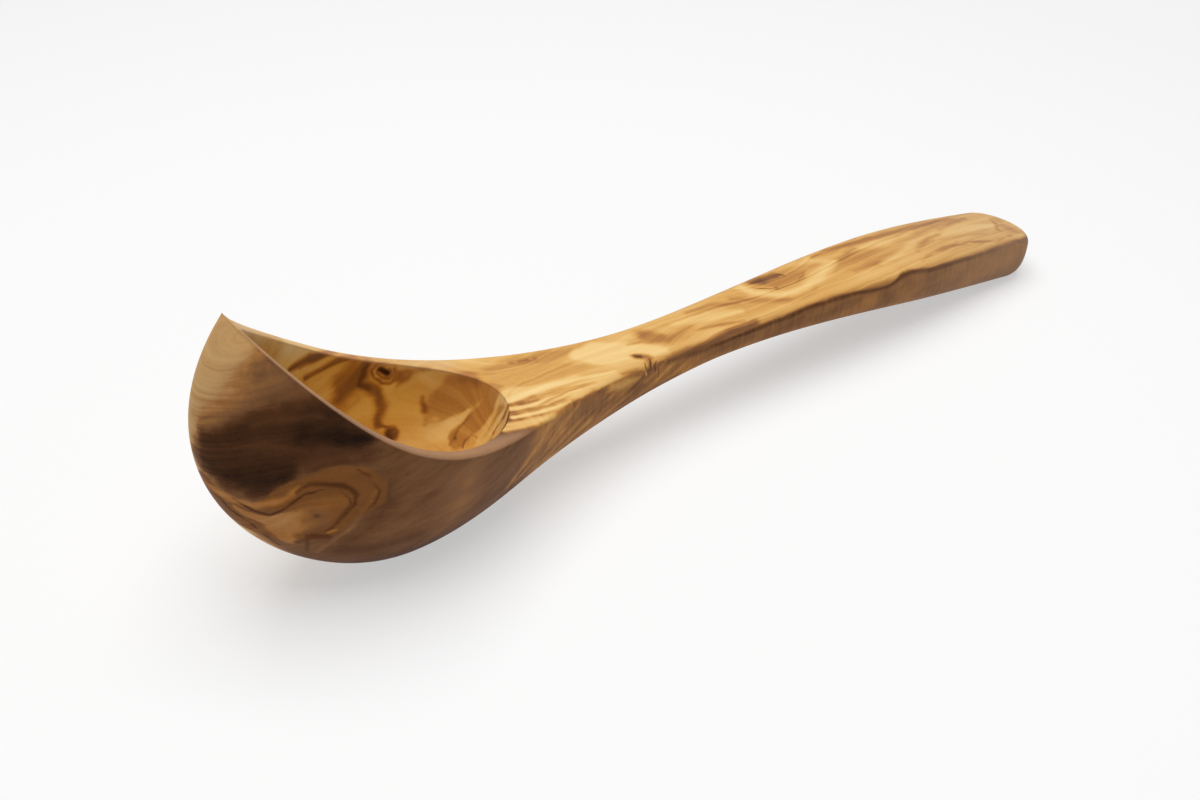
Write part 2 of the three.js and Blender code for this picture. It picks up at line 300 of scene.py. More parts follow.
    (1.17, 0.58, [(-84.8, 21.6, 35.4, 1.68), (-82.3, 20.6, 34.9, 1.92), (-84.9, 20.7, 32.7, 0.36)]),
    (1.3, 0.48, [(-81.5, 20.4, 35.2, 1.2), (-76.3, 18.2, 36.6, 0.72)]),
    # The hollow's back: a brown flame over a cream tongue, and a second flame with a dot and a ring
    (1.17, 0.46, [
        (-80.9, 14.3, 22, 0.48), (-79.2, 14.5, 24.2, 2.16), (-75.9, 13.4, 26.6, 4.32),
        (-71.3, 10.9, 30.4, 5.52), (-67.4, 7.3, 33.3, 5.04), (-65.2, 2.4, 34.5, 3.6),
    ]),
    (1.04, 0.68, [(-79.5, 16.8, 28.3, 0.48), (-80, 15.6, 25.2, 0.84)]),
    (2.08, 0.6, [(-68.6, 10.4, 34.6, 1.68), (-67.1, 7.7, 34.2, 1.2)]),
    (0.59, 0.62, [
        (-81.3, 14.2, 21.4, 0.3), (-77.2, 11.7, 22.5, 0.36), (-72.9, 8.8, 25.4, 0.36),
        (-70.7, 6.8, 27.2, 0.24),
    ]),
    (0.65, 0.1, [(-80.6, 11.4, 18.5, 1.92), (-75.9, 9.2, 21.5, 2.04), (-71.1, 6.7, 26.4, 0.6)]),
    (0.65, 0.47, [
        (-75.9, 5.7, 19.3, 2.88), (-71.6, 3.5, 24.3, 2.88), (-67.2, 0.5, 31, 2.64),
        (-65.4, -1, 34.2, 1.44),
    ]),
    (0.52, 0.62, [(-77.8, 6.8, 17.5, 0.3), (-74.1, 6.8, 21.9, 0.36), (-70.9, 5.4, 26, 0.3)]),
    (0.52, 0.74, [(-76.2, 6.3, 19.2, 0.42)]),
    (0.45, 0.64, [
        (-76.1, 2.6, 18.1, 0.24), (-75.1, 3.2, 19.5, 0.36), (-73.5, 2.1, 21.1, 0.36),
        (-73.1, -0.3, 21.6, 0.36), (-73.9, -0.3, 20.6, 0.3),
    ]),
    (0.45, 0.62, [
        (-75.1, 1.7, 19.2, 0.18), (-74.6, 2, 20, 0.24), (-73.8, 1.1, 20.6, 0.24), (-74.1, 0, 20.3, 0.24),
        (-74.6, 0.6, 19.6, 0.18),
    ]),
    (0.3, 0.25, [(-74.3, 1.1, 20, 0.2)]),
    (0.65, 0.18, [
        (-64.4, -1.3, 34.5, 0.6), (-68, -2, 29.9, 0.96), (-71.5, -1.2, 23.8, 1.08),
        (-74, -1.1, 20.4, 0.6),
    ]),
    (0.65, 0.14, [(-66.6, -5.7, 33.8, 0.96), (-69.5, -5.5, 28.2, 1.44), (-72.7, -3.5, 22.8, 1.2)]),
    (0.91, 0.2, [(-67.6, -8.5, 34, 0.96), (-69.7, -9.4, 31.3, 1.68), (-71.2, -7, 26.2, 1.44)]),
    (0.45, 0.56, [(-67.3, -7.3, 33.8, 0.3), (-70.6, -5.7, 26.3, 0.36), (-72, -4.9, 24, 0.3)]),
    # The top of the neck: brown tongues, cream streaks with dark lines, and two knots
    (1.5, 0.2, [(-63.1, -2.4, 34.4, 2.8), (-53.5, -3.4, 33.4, 2.8), (-42.6, -4.3, 32.4, 1.4)]),
    (1.05, 0.37, [
        (-62.8, 7.1, 34.4, 3.64), (-54.1, 3, 33.4, 5.6), (-45.1, 0.8, 32.4, 4.2),
        (-36.1, -2.8, 31.7, 1.12),
    ]),
    (1.35, 0.44, [
        (-61.6, 10.7, 34.2, 1.68), (-53, 10.9, 33.1, 2.52), (-43.9, 8.9, 32.5, 3.08),
        (-35.3, 7.5, 31.8, 1.68),
    ]),
    (0.75, 0.54, [(-52.9, 11, 33.3, 0.98), (-50.2, 10.1, 33, 1.4), (-46.7, 9.3, 32.7, 0.84)]),
    (0.6, 0.42, [(-52.2, 10.6, 33.3, 0.42), (-50.2, 10.1, 33, 0.84), (-47.4, 9.6, 32.6, 0.42)]),
    (0.6, 0.64, [(-51.1, 10.5, 33.1, 0.42), (-49, 10, 32.8, 0.56)]),
    (1.35, 0.12, [
        (-34, 4.1, 31.6, 3.36), (-28.3, 1.3, 31.4, 6.44), (-22.4, -1.2, 31, 4.76),
        (-17.7, -3.6, 30.7, 3.36), (-11.9, -6.8, 30.4, 1.4),
    ]),
    (0.75, 0.07, [
        (-64.9, -5.6, 34.7, 1.26), (-53.3, -4.8, 33.2, 1.12), (-43.5, -5.7, 32.3, 0.7),
        (-30.2, -8.1, 31.5, 0.42),
    ]),
    (0.75, 0.07, [(-67.2, -9.7, 35, 0.98), (-57, -10.9, 33.7, 1.12), (-44.5, -10.5, 32.4, 0.42)]),
    (0.75, 0.1, [(-68.9, -13.4, 35.3, 0.7), (-58.2, -14.3, 33.7, 0.84), (-50.7, -13.9, 33.1, 0.28)]),
    (0.75, 0.46, [
        (-67, -11.4, 35.1, 0.28), (-59.2, -11.5, 33.8, 0.42), (-49.1, -10.1, 32.9, 0.49),
        (-38.9, -9.6, 32, 0.28),
    ]),
    (0.75, 0.44, [(-69.2, -11.6, 35.3, 0.28), (-61.6, -12.5, 34.1, 0.42), (-55, -13.3, 33.4, 0.28)]),
    (0.75, 0.42, [(-56.6, -7.7, 33.5, 0.28), (-48, -8.4, 32.7, 0.42), (-41.3, -9.4, 32.2, 0.28)]),
    (1.2, 0.22, [(-72.5, -15.8, 36, 1.12), (-65.1, -17.5, 34.6, 1.4), (-57.7, -17, 33.4, 0.84)]),
    (0.9, 0.26, [(-74, -18, 36.3, 1.4), (-68.8, -18, 35.2, 1.4), (-65.2, -18.6, 34.7, 0.7)]),
    (1.05, 0.57, [(-20.6, -5.6, 30.8, 1.26), (-18.3, -7.1, 30.8, 1.26)]),
    (0.6, 0.8, [(-20.8, -5.4, 30.9, 0.42), (-19.7, -6.2, 30.8, 0.63)]),
    (0.2, 0.35, [(-19.3, -6.4, 30.8, 0.2)]),
    (0.9, 0.48, [(-19.5, 0.9, 30.9, 0.28), (-15, -0.2, 30.5, 0.56), (-12.7, -2.3, 30.5, 0.28)]),
    (2.1, 0.5, [
        (-12.4, 4.1, 30.5, 2.24), (-10.7, 0.3, 30.4, 3.36), (-7.2, -3.9, 30.3, 2.24),
        (2.2, -2.4, 29.8, 1.12),
    ]),
    (1.2, 0.56, [(-19.7, -8.8, 30.7, 0.7), (-18.5, -10.2, 28.7, 1.12)]),
    (0.3, 0.7, [(-21.1, -8.7, 30.7, 0.2), (-21.6, -10.1, 29.7, 0.3)]),
    (0.3, 0.78, [(-18.7, -8, 30.6, 0.25), (-19.6, -9.6, 30, 0.45), (-19.4, -10.3, 28.4, 0.25)]),
    (0.3, 0.76, [(-16.9, -9.3, 29.8, 0.2), (-18.1, -10.1, 29, 0.45), (-17.8, -10.2, 27.4, 0.2)]),
    (0.3, 0.7, [(-16.6, -10.2, 27.7, 0.2), (-15.7, -9.9, 24.6, 0.25)]),
    (0.6, 0.72, [(-21, -10.4, 28.5, 0.28), (-18.5, -10.3, 28.5, 0.35)]),
    (0.3, 0.36, [(-22.2, -9.5, 30.4, 0.2), (-21.2, -10.4, 27.2, 0.35)]),
    (1.35, 0.56, [(-29.2, -10.2, 31, 0.84), (-24.8, -10.3, 30.1, 1.12)]),
    (1.35, 0.18, [(-0.4, 2.1, 30, 1.26), (11, -0.1, 29.6, 2.52), (20.5, -3.2, 29.2, 1.26)]),
    (1.2, 0.44, [(7.4, 5.7, 29.6, 0.84), (16, 4.1, 29.4, 1.4), (23.1, 0.7, 29.1, 0.84)]),
    (0.9, 0.46, [(2.4, -3.8, 29.9, 0.42), (11.3, -5.7, 29.7, 0.7), (18.9, -7.5, 29.4, 0.42)]),
    # Streaks down the neck's side
    (1.65, 0.43, [
        (-74.2, -16.9, 15.5, 0.7), (-71.4, -18, 19.9, 1.12), (-65.9, -17.8, 24, 1.4),
        (-62.7, -17.7, 27, 0.98), (-60.8, -18, 30.5, 0.56),
    ]),
    (1.2, 0.44, [(-58.9, -15.4, 22.9, 0.49), (-55.9, -15.6, 25.9, 0.7), (-53.7, -15.5, 27.6, 0.42)]),
    (1.65, 0.46, [(-60.5, -18.1, 30.9, 0.7), (-55.9, -17, 32.6, 1.12), (-51, -15.4, 32.5, 0.7)]),
    (1.5, 0.6, [(-51.3, -14.6, 26, 1.4), (-46.4, -13.8, 28, 2.8), (-41.6, -13.2, 29, 2.52)]),
    (0.9, 0.45, [(-52.8, -15.1, 27, 0.42), (-49, -15, 30.1, 0.7), (-47.4, -14.6, 31.7, 0.42)]),
    (1.2, 0.64, [(-40.2, -11.2, 20.8, 0.7), (-37.2, -11.6, 23.6, 1.4), (-33.8, -11.3, 24.5, 0.7)]),
    (1.35, 0.37, [(-34.9, -12.2, 29.6, 1.12), (-29.3, -11.1, 28.1, 1.68), (-24.8, -10.6, 27.4, 0.84)]),
    (1.05, 0.48, [
        (-40.6, -10.5, 18.6, 0.28), (-34.2, -10.1, 20, 0.42), (-29.1, -10.2, 21.7, 0.42),
        (-24.4, -9.9, 22.2, 0.28),
    ]),
    (1.05, 0.48, [(-35.7, -9.5, 17.9, 0.28), (-29.5, -9.1, 18.6, 0.42), (-24, -8.7, 19.2, 0.28)]),
    (1.2, 0.65, [(-29.3, -9.6, 19.7, 0.7), (-25.6, -9.8, 21.3, 1.26), (-21.6, -10.1, 23.5, 1.12)]),
    (1.8, 0.68, [(-32.8, -8.3, 16.5, 0.7), (-21, -8.2, 18.8, 0.98), (-8.3, -9, 20.9, 0.7)]),
    (1.5, 0.7, [
        (-12.5, -9.8, 28.3, 0.84), (-2.4, -9.8, 28.3, 1.26), (11.6, -9.5, 28.6, 1.26),
        (21.7, -10.1, 28.1, 0.98),
    ]),
    # The handle's ringed knot in its pale loop
    (2.07, 0.46, [
        (23.4, 3.4, 29.2, 0.72), (29.7, -2.3, 29, 1.08), (38.1, -6.5, 28.7, 1.08),
        (48.9, -5.7, 28.3, 0.96),
    ]),
    (1.84, 0.1, [
        (30.5, 8, 28.9, 1.68), (31.3, 3.2, 29.1, 1.8), (34.7, -1.3, 28.8, 1.44),
        (40.2, -4.3, 28.7, 1.44), (46.3, -4, 28.4, 1.68), (54.7, -1.4, 28, 2.16), (61.8, 1.6, 27.6, 1.8),
        (66.3, 3.6, 27.5, 0.84),
    ]),
    (2.07, 0.18, [(53.9, 9.8, 28, 0.96), (61.7, 8, 27.8, 1.44), (64.1, 5, 27.6, 1.68)]),
    (1.61, 0.42, [
        (36.6, 8.3, 28.6, 1.44), (41.5, 3.6, 28.6, 3.6), (49.3, 3, 28.3, 2.64), (53.6, 4, 28.2, 0.72),
    ]),
    (1.61, 0.6, [(35.7, 8.2, 28.8, 1.2), (39.6, 7.1, 28.6, 2.4), (44.4, 6.9, 28.4, 1.56)]),
    (0.3, 0.6, [
        (33.7, 5.1, 28.8, 0.25), (39, -0.6, 28.7, 0.3), (47.6, 0.2, 28.2, 0.25), (52.5, 3.2, 28.3, 0.15),
    ]),
    (0.3, 0.66, [
        (39.9, 6.9, 28.7, 0.25), (43.2, 7.8, 28.6, 0.3), (46.4, 7.2, 28.5, 0.3), (47, 5.1, 28.3, 0.3),
        (44.5, 3.9, 28.5, 0.25), (41.2, 4.6, 28.6, 0.25), (39.9, 6.9, 28.7, 0.25),
    ]),
    (0.3, 0.7, [(42.5, 6.6, 28.5, 0.2), (44.8, 5.9, 28.5, 0.3)]),
    (1.61, 0.74, [(36.1, 7.3, 28.9, 0.72), (38.6, 6.9, 28.6, 1.2)]),
    (0.8, 0.7, [(39.2, 0.6, 28.6, 0.42)]),
    # Flows along the rest of the handle's top
    (1.84, 0.45, [
        (63, 9.4, 27.5, 0.96), (79.6, 10, 26.5, 1.44), (97.6, 9.4, 24.8, 1.44), (116.3, 8.7, 22.1, 1.08),
    ]),
    (0.92, 0.3, [(80.3, 8.8, 26.5, 0.36), (96.5, 8.3, 24.9, 0.42), (115, 7.5, 22.3, 0.36)]),
    (2.07, 0.48, [
        (67.9, -5.2, 27.2, 0.24), (76.8, -5, 26.7, 1.2), (84.9, -5.7, 26.1, 0.84),
        (92.3, -3.4, 25.3, 0.24),
    ]),
    (2.07, 0.5, [(69.4, 3.3, 27.3, 0.24), (74.5, 5, 27, 0.96), (79.1, 6.2, 26.5, 0.36)]),
    (2.07, 0.14, [
        (80.3, 5.4, 26.3, 0.36), (85, 5.2, 25.9, 1.44), (92.5, 4.6, 25.3, 2.04),
        (100.6, 5.5, 24.4, 1.08), (105.6, 6.4, 23.7, 0.24),
    ]),
    (1.84, 0.15, [
        (79.2, -6.4, 26.5, 0.24), (85.9, -4.8, 25.9, 1.08), (97, -1.9, 24.7, 1.44),
        (107, 0.8, 23.5, 1.2), (115, 3.3, 22.5, 0.36),
    ]),
    (1.61, 0.12, [
        (108.8, -1.5, 23.4, 0.36), (118.2, 0.3, 21.8, 1.68), (129.5, 0.5, 19.9, 2.16),
        (139.1, -0.6, 17.9, 1.32),
    ]),
    (0.92, 0.52, [
        (115.1, -5.9, 22.4, 0.24), (122.2, -8.8, 21.1, 0.48), (130.3, -10.6, 19.8, 0.54),
        (139.4, -9.2, 17.8, 0.36),
    ]),
    (1.61, 0.53, [
        (96.3, -5.5, 24.8, 0.24), (101.8, -1.8, 24.1, 0.72), (107.4, 0.6, 23.5, 0.6),
        (112.4, 0.9, 22.6, 0.24),
    ]),
    (1.38, 0.55, [
        (92.7, -10.7, 25.3, 0.18), (101, -7.8, 24.3, 0.48), (109.5, -7.6, 23.3, 0.48),
        (117.1, -8.5, 21.9, 0.18),
    ]),
    (1.61, 0.53, [(121.4, 5.1, 21.3, 0.24), (128, 6.1, 20.2, 0.72), (133.6, 7.1, 19.2, 0.24)]),
    (1.38, 0.48, [(110.3, -3, 23.2, 0.18), (120.8, -3.2, 21.3, 0.48), (130.9, -5, 19.7, 0.18)]),
    (1.38, 0.22, [
        (65.9, -9.2, 27.5, 0.24), (78.1, -10.5, 26.5, 0.72), (90.8, -9.7, 25.4, 0.48),
        (98.2, -10.4, 24.7, 0.24),
    ]),
    (2.07, 0.42, [(145.6, 4, 16.4, 0.96), (143.7, -0.9, 16.9, 2.16), (143.8, -5.1, 16.9, 1.92)]),
    (1.15, 0.5, [(143.4, 3.7, 17, 0.36), (141.5, -0.4, 17.3, 0.6), (138.1, -4.6, 18.1, 0.48)]),
    (0.92, 0.3, [(148.2, 1.6, 15.7, 0.48), (147.1, -1.7, 16, 0.6)]),
    (1.15, 0.19, [(144.2, 3.4, 16.6, 0.48), (144, 0.7, 16.7, 0.6)]),
    (1.15, 0.22, [(136.4, -7.6, 18.5, 0.36), (136.5, -10.1, 18.6, 0.48)]),
    (1.15, 0.5, [
        (69.5, 10.3, 27.2, 0.24), (80.4, 9.5, 26.4, 0.84), (90, 9.1, 25.5, 1.08), (100.1, 9, 24.4, 1.08),
        (110.7, 9.2, 22.8, 1.08), (120.9, 8.7, 21.5, 0.84), (129.3, 8.3, 19.8, 0.36),
    ]),
    (6.9, 0.48, [(117.5, -13.7, 16.2, 2.4), (136.7, -13.1, 12.9, 2.88)]),
    (4.6, 0.64, [(73.9, -13.9, 20.9, 1.44), (75.4, -13.6, 18.7, 1.44)]),
]

# Where the wood is redder, in the hollow and the eye: in the same form, with a share for the tone
WARMTH = [
    (3.0, 0.6, [(-80, 6, 27, 16)]),
    (3.0, 1.0, [(-136, 7, 58, 8), (-122, 10, 52, 13), (-102, 12, 38, 18), (-92, 11, 32, 15)]),
    (1.0, 0.8, EYE),
    (1.2, 0.4, [(-132, -17, 33, 5), (-139, -12, 33, 4.5), (-148, -5, 41, 1.5)]),
]

# The dark seam along the handle: place from the origin, depth below the top, slope
SEAM = [
    (-70.0, 0.0, 0.0), (-53.0, 0.1, 0.01), (-35.0, 0.8, 0.0), (-15.0, 1.6, 0.0), (0.0, 2.2, 0.0),
    (13.0, 2.0, 0.0), (58.0, 1.0, 0.05), (74.0, 2.3, 0.0), (82.0, 0.4, 0.0), (97.0, 1.4, 0.0),
    (117.0, 1.5, 0.0), (140.0, 0.4, 0.0), (153.0, 0.6, 0.0),
]

# Knots that bend the growth rings: centre, spread along each axis, and how many rings they gather
KNOTS = [
    ((-88.1, 22.7, 37.7), (9, 7, 7), 2.0),
    ((-49.9, 9.9, 33.0), (12, 6, 6), 1.4),
    ((-19.5, -6.3, 30.8), (14, 6, 6), 1.8),
    ((41.5, 7.3, 28.6), (22, 9, 9), 3.0),
    ((-130.4, -17.8, 34.4), (12, 9, 12), 2.0),
]

# The tip of the lip lies this far ahead of the origin, in millimetres
TIP_OFFSET = SIZES["tip_to_end"] - cad_box[1][0] / MM

# Further than any place on the ladle
FAR_AWAY = 1000.0


class Bench:
    """A node tree in the making. add() makes any node: its settings come first, then its sockets."""

    def __init__(self, tree):
        self.tree = tree

    def add(self, kind, settings=None, sockets=None, out=0):
        node = self.tree.nodes.new(kind)
        for name, value in (settings or {}).items():
            if name == "stops":
                lay_stops(node.color_ramp, value)
            else:
                setattr(node, name, value)
        for key, value in (sockets or {}).items():
            if isinstance(value, Wire):
                self.tree.links.new(value.socket, node.inputs[key])
            else:
                node.inputs[key].default_value = value
        return Wire(self, node.outputs[out]) if node.outputs else node

    def join(self, x, y, z):
        return self.add("ShaderNodeCombineXYZ", None, {0: x, 1: y, 2: z})

    def split(self, vector):
        outputs = self.add("ShaderNodeSeparateXYZ", None, {0: vector}).socket.node.outputs
        return [Wire(self, output) for output in outputs]

    def vector(self, operation, *values, out=0):
        return self.add("ShaderNodeVectorMath", {"operation": operation}, dict(enumerate(values)), out)

    def scaled(self, vector, factor):
        return self.add("ShaderNodeVectorMath", {"operation": "SCALE"}, {0: vector, "Scale": factor})


class Wire:
    """A value in a node tree. Arithmetic on it adds Math nodes."""

    def __init__(self, bench, socket):
        self.bench = bench
        self.socket = socket

    def math(self, operation, *values):
        return self.bench.add("ShaderNodeMath", {"operation": operation}, dict(enumerate(values)))

    def __add__(self, other):
        return self.math("ADD", self, other)

    def __sub__(self, other):
        return self.math("SUBTRACT", self, other)

    def __mul__(self, other):
        return self.math("MULTIPLY", self, other)

    def __truediv__(self, other):
        return self.math("DIVIDE", self, other)

    def __pow__(self, other):
        return self.math("POWER", self, other)

    def __radd__(self, other):
        return self.math("ADD", other, self)

    def __rsub__(self, other):
        return self.math("SUBTRACT", other, self)

    def __rmul__(self, other):
        return self.math("MULTIPLY", other, self)

    def __rtruediv__(self, other):
        return self.math("DIVIDE", other, self)

    def __rpow__(self, other):
        return self.math("POWER", other, self)

    def __neg__(self):
        return self.math("MULTIPLY", self, -1.0)

    def __abs__(self):
        return self.math("ABSOLUTE", self)

    def times_plus(self, factor, addend):
        return self.math("MULTIPLY_ADD", self, factor, addend)

    def sqrt(self):
        return self.math("SQRT", self)

    def sin(self):
        return self.math("SINE", self)

    def cos(self):
        return self.math("COSINE", self)

    def sign(self):
        return self.math("SIGN", self)

    def least(self, other):
        return self.math("MINIMUM", self, other)

    def most(self, other):
        return self.math("MAXIMUM", self, other)

    def clamped(self):
        return self.bench.add("ShaderNodeClamp", None, {"Value": self})

    def share(self, low, high, settings=None):
        """0 up to low, 1 from high on. High may be the lower one."""
        sockets = {"Value": self, "From Min": low, "From Max": high}
        return self.bench.add("ShaderNodeMapRange", settings, sockets)

    def smooth(self, low, high):
        """The same with soft ends, which need no clamp. Without one the shader stays small."""
        return self.share(low, high, {"interpolation_type": "SMOOTHSTEP", "clamp": False})


def lay_stops(ramp, stops):
    """Stops of a colour ramp: (place, linear red, green, blue)."""
    while len(ramp.elements) < len(stops):
        ramp.elements.new(1.0)
    for element, (place, *colour) in zip(ramp.elements, stops):
        element.position = place
        element.color = (*colour, 1.0)


def lerp(a, b, t):
    return a + (b - a) * t


def bezier(t, a, b, c, d):
    """A point of a curve, from its two ends and two handles."""
    climb = 3 * (b - a)
    bend = 3 * (c - b) - climb
    return t.times_plus(d - a - climb - bend, bend).times_plus(t, climb).times_plus(t, a)


def fair_line(*knots):
    """A fair line through knots (place, value, slope). It is level outside them."""
    spans = []
    for (x0, y0, slope0), (x1, y1, slope1) in zip(knots, knots[1:]):
        lead = (x1 - x0) * slope0
        tail = (x1 - x0) * slope1
        rise = y1 - y0
        spans.append((x0, x1, lead, 3 * rise - 2 * lead - tail, lead + tail - 2 * rise))

    def read(x):
        value = knots[0][1]
        for start, stop, climb, bend, twist in spans:
            t = x.share(start, stop)
            value = t.times_plus(twist, bend).times_plus(t, climb).times_plus(t, value)
        return value

    return read


def top_line(size):
    """The rim and the top of the handle, seen from the side."""
    return fair_line(
        (0.0, size.tip_height, size.lip_fall),
        (size.shoulder, size.shoulder_height, size.shoulder_fall),
        (size.grip_crown, size.grip_height, size.grip_fall),
        (size.tip_to_end, size.end_height, size.end_fall),
    )


def carving_lines(size):
    """The lines of the carving, the same as in the part's source."""
    flat = 0.0 - size.flat_depth
    return SimpleNamespace(
        top=top_line(size),
        under=fair_line(
            (size.bowl_bottom, flat, 0.0),
            (size.arch, size.arch_height, 0.0),
            (size.end_centre, flat, size.heel_fall),
        ),
        half_width=fair_line(
            (0.0, 0.0, size.lip_flare),
            (size.bowl_widest, size.bowl_width / 2, 0.0),
            (size.shoulder, size.shoulder_width / 2, size.shoulder_taper),
            (size.neck, size.neck_width / 2, 0.0),
            (size.grip_widest, size.grip_width / 2, 0.0),
            (size.end_centre, size.end_width / 2, 0.0),
        ),
        mouth_front=fair_line(
            (size.mouth_front, 0.0, size.lip_flare),
            (size.bowl_widest, size.bowl_width / 2 - size.rim_wall, 0.0),
        ),
    )


def mouth_point(s, size, line):
    """The mouth's edge in plan, from its softly rounded front (s = 0) to its back (s = 1)."""
    rest = 1 - s
    eased = MOUTH_PACE * s * rest * rest + s * s * (3 - 2 * s)
    along = (size.mouth_back - size.mouth_front) * eased
    x = size.mouth_front + along
    back = x.share(size.bowl_widest, size.mouth_back)
    rounded = along.times_plus(along, size.mouth_nose * size.mouth_nose).sqrt()
    return size.mouth_front + rounded, line.mouth_front(x) * (1 - back * back).sqrt()


def mouth_normal(s, size, line):
    """The plan direction that leads from the mouth's edge out over the rim."""
    x0, y0 = mouth_point((s - MOUTH_STEP).most(0.0), size, line)
    x1, y1 = mouth_point((s + MOUTH_STEP).least(1.0), size, line)
    dx = x1 - x0
    dy = y1 - y0
    length = dx.times_plus(dx, dy * dy).sqrt()
    return -dy / length, dx / length


def front_keel(t, tip, bottom, breast_reach, belly_reach):
    """The keel ahead of a bottom point: round the breast below the tip, then back along the belly."""
    breast_x = tip[0] - breast_reach * math.cos(BREAST_ANGLE)
    breast_z = tip[1] - breast_reach * math.sin(BREAST_ANGLE)
    x = bezier(t, tip[0], breast_x, bottom[0] - belly_reach, bottom[0])
    z = bezier(t, tip[1], breast_z, bottom[1], bottom[1])
    return x, z


def arrive_at(rate, t):
    return t * ((rate - 1) * t + (2 - rate))


def outer_keel(x, size, line):
    t = arrive_at(size.bowl_bottom / (3 * size.belly_reach), x.share(0.0, size.bowl_bottom))
    bottom = (size.bowl_bottom, 0.0 - size.flat_depth)
    keel_x, keel_z = front_keel(t, (0.0, size.tip_height), bottom, size.breast_reach, size.belly_reach)
    behind = (x - size.bowl_bottom).most(0.0)
    return keel_x + behind, keel_z + line.under(x) + size.flat_depth


def hollow_keel(s, size, line):
    nose = size.mouth_front + size.mouth_nose
    tip = (nose, line.top(nose) - size.mouth_edge)
    bottom = ((size.mouth_front + size.mouth_back) / 2, size.floor_wall)
    back = (size.mouth_back, line.top(size.mouth_back) - size.mouth_edge)
    belly = size.belly_reach - size.floor_wall
    t = arrive_at(size.floor_reach / belly, s.share(0.0, 0.5))
    front_x, front_z = front_keel(t, tip, bottom, size.breast_reach - size.rim_wall, belly)
    u = s.share(0.5, 1.0)
    wall_x = back[0] - size.back_wall_reach * math.cos(BACK_WALL_ANGLE)
    wall_z = back[1] - size.back_wall_reach * math.sin(BACK_WALL_ANGLE)
    back_x = bezier(u, bottom[0], bottom[0] + size.floor_reach, wall_x, back[0])
    back_z = bezier(u, bottom[1], bottom[1], wall_z, back[1])
    return front_x + back_x - bottom[0], front_z + back_z - bottom[1]


def skin_station(t, size, line):
    """A rib of the outer skin. t runs from the tip along the side, then round the handle's end."""
    x = size.end_centre * t.share(0.0, SIDE_SHARE) ** TIP_CROWDING
    turn = t.share(SIDE_SHARE, 1.0) * (math.pi / 2)
    half = line.half_width(x)
    slope = line.half_width(x + WIDTH_STEP) - line.half_width(x - WIDTH_STEP)
    slope = slope / (2 * WIDTH_STEP)
    end_round = size.tip_to_end - size.end_centre
    reach_x = end_round * turn.sin()
    reach_y = half * turn.cos()
    normal_x = turn.sin() * (size.end_width / (2 * end_round)) - slope
    normal_y = turn.cos()
    length = normal_x.times_plus(normal_x, normal_y * normal_y).sqrt()

    # The top's inner point: the mouth's edge beside the bowl, then a line whose lean to the mouth fades
    s = x.share(0.0, size.shoulder)
    mouth_x, mouth_y = mouth_point(s, size, line)
    over_x, over_y = mouth_normal(s, size, line)
    behind = (x - size.shoulder).most(0.0)
    shoulder_lean = size.shoulder - size.mouth_back - size.mouth_edge
    lean = shoulder_lean * x.share(size.end_centre, size.shoulder) ** LEAN_FADE
    inner_x = mouth_x + over_x * size.mouth_edge + behind + shoulder_lean - lean
    inner_y = mouth_y + over_y * size.mouth_edge

    grip = x.smooth(size.shoulder - SECTION_LEAD, size.neck + SECTION_LEAD)
    section = {part: lerp(BOWL_SECTION[part], GRIP_SECTION[part], grip) for part in BOWL_SECTION}
    return SimpleNamespace(
        keel=outer_keel(x, size, line),
        outline=(x + reach_x, reach_y),
        reach=(reach_x, reach_y),
        normal=(normal_x / length, normal_y / length),
        inner=(inner_x, inner_y),
        section=section,
        round=lerp(size.rim_edge, size.grip_edge, grip).least(EDGE_SHARE * half),
        swell=size.grip_swell * grip,
    )


def hollow_station(t, size, line):
    """A rib of the hollow, whose edge softly breaks the inner corner of the rim."""
    s = t.most(0.0) ** TIP_CROWDING
    edge = mouth_point(s, size, line)
    over_x, over_y = mouth_normal(s, size, line)
    return SimpleNamespace(
        keel=hollow_keel(s, size, line),
        outline=edge,
        reach=(0.0, edge[1]),
        normal=(-over_x, -over_y),
        section=BOWL_SECTION,
        round=size.mouth_edge,
    )


def row_point(v, station, facets, line):
    """A point of a row, which climbs a rib from the keel, rounds the edge and crosses the top.

    v runs from -1 to 1: its size is the way along the row, its sign the side of the ladle.
    """
    ribs, edges, decks = facets
    way = abs(v) * float(sum(facets))
    a = way.share(0.0, float(ribs))
    turn = way.share(float(ribs), float(ribs + edges)) * (math.pi / 2)
    edge_x, edge_y = station.outline
    reach_x, reach_y = station.reach
    keel_x, keel_z = station.keel
    section = station.section
    inset = station.round * (1 - turn.cos())
    plan_x = edge_x - station.normal[0] * inset
    plan_y = edge_y - station.normal[1] * inset
    lift = station.round * turn.sin()
    if decks:
        c = way.share(float(ribs + edges), float(sum(facets)))
        plan_x = plan_x + (station.inner[0] - (edge_x - station.normal[0] * station.round)) * c
        plan_y = plan_y + (station.inner[1] - (edge_y - station.normal[1] * station.round)) * c
        lift = lift + station.swell * c * (2 - c)
    cube = a * a * a
    low = 3 * (1 - a) * (1 - a) * a
    high = 3 * (1 - a) * a * a
    out = low * section["floor"] + high * (section["flare"] + 1) + cube
    up = high * (1 - section["side"]) + cube
    top = line.top(edge_x)
    x = keel_x + reach_x * out + (edge_x - keel_x - reach_x) * up + plan_x - edge_x
    y = reach_y * out + plan_y - edge_y
    z = keel_z + (top - station.round - keel_z) * up + line.top(plan_x) - top + lift
    return v.bench.join(x, y * v.sign(), z.most(0.0))


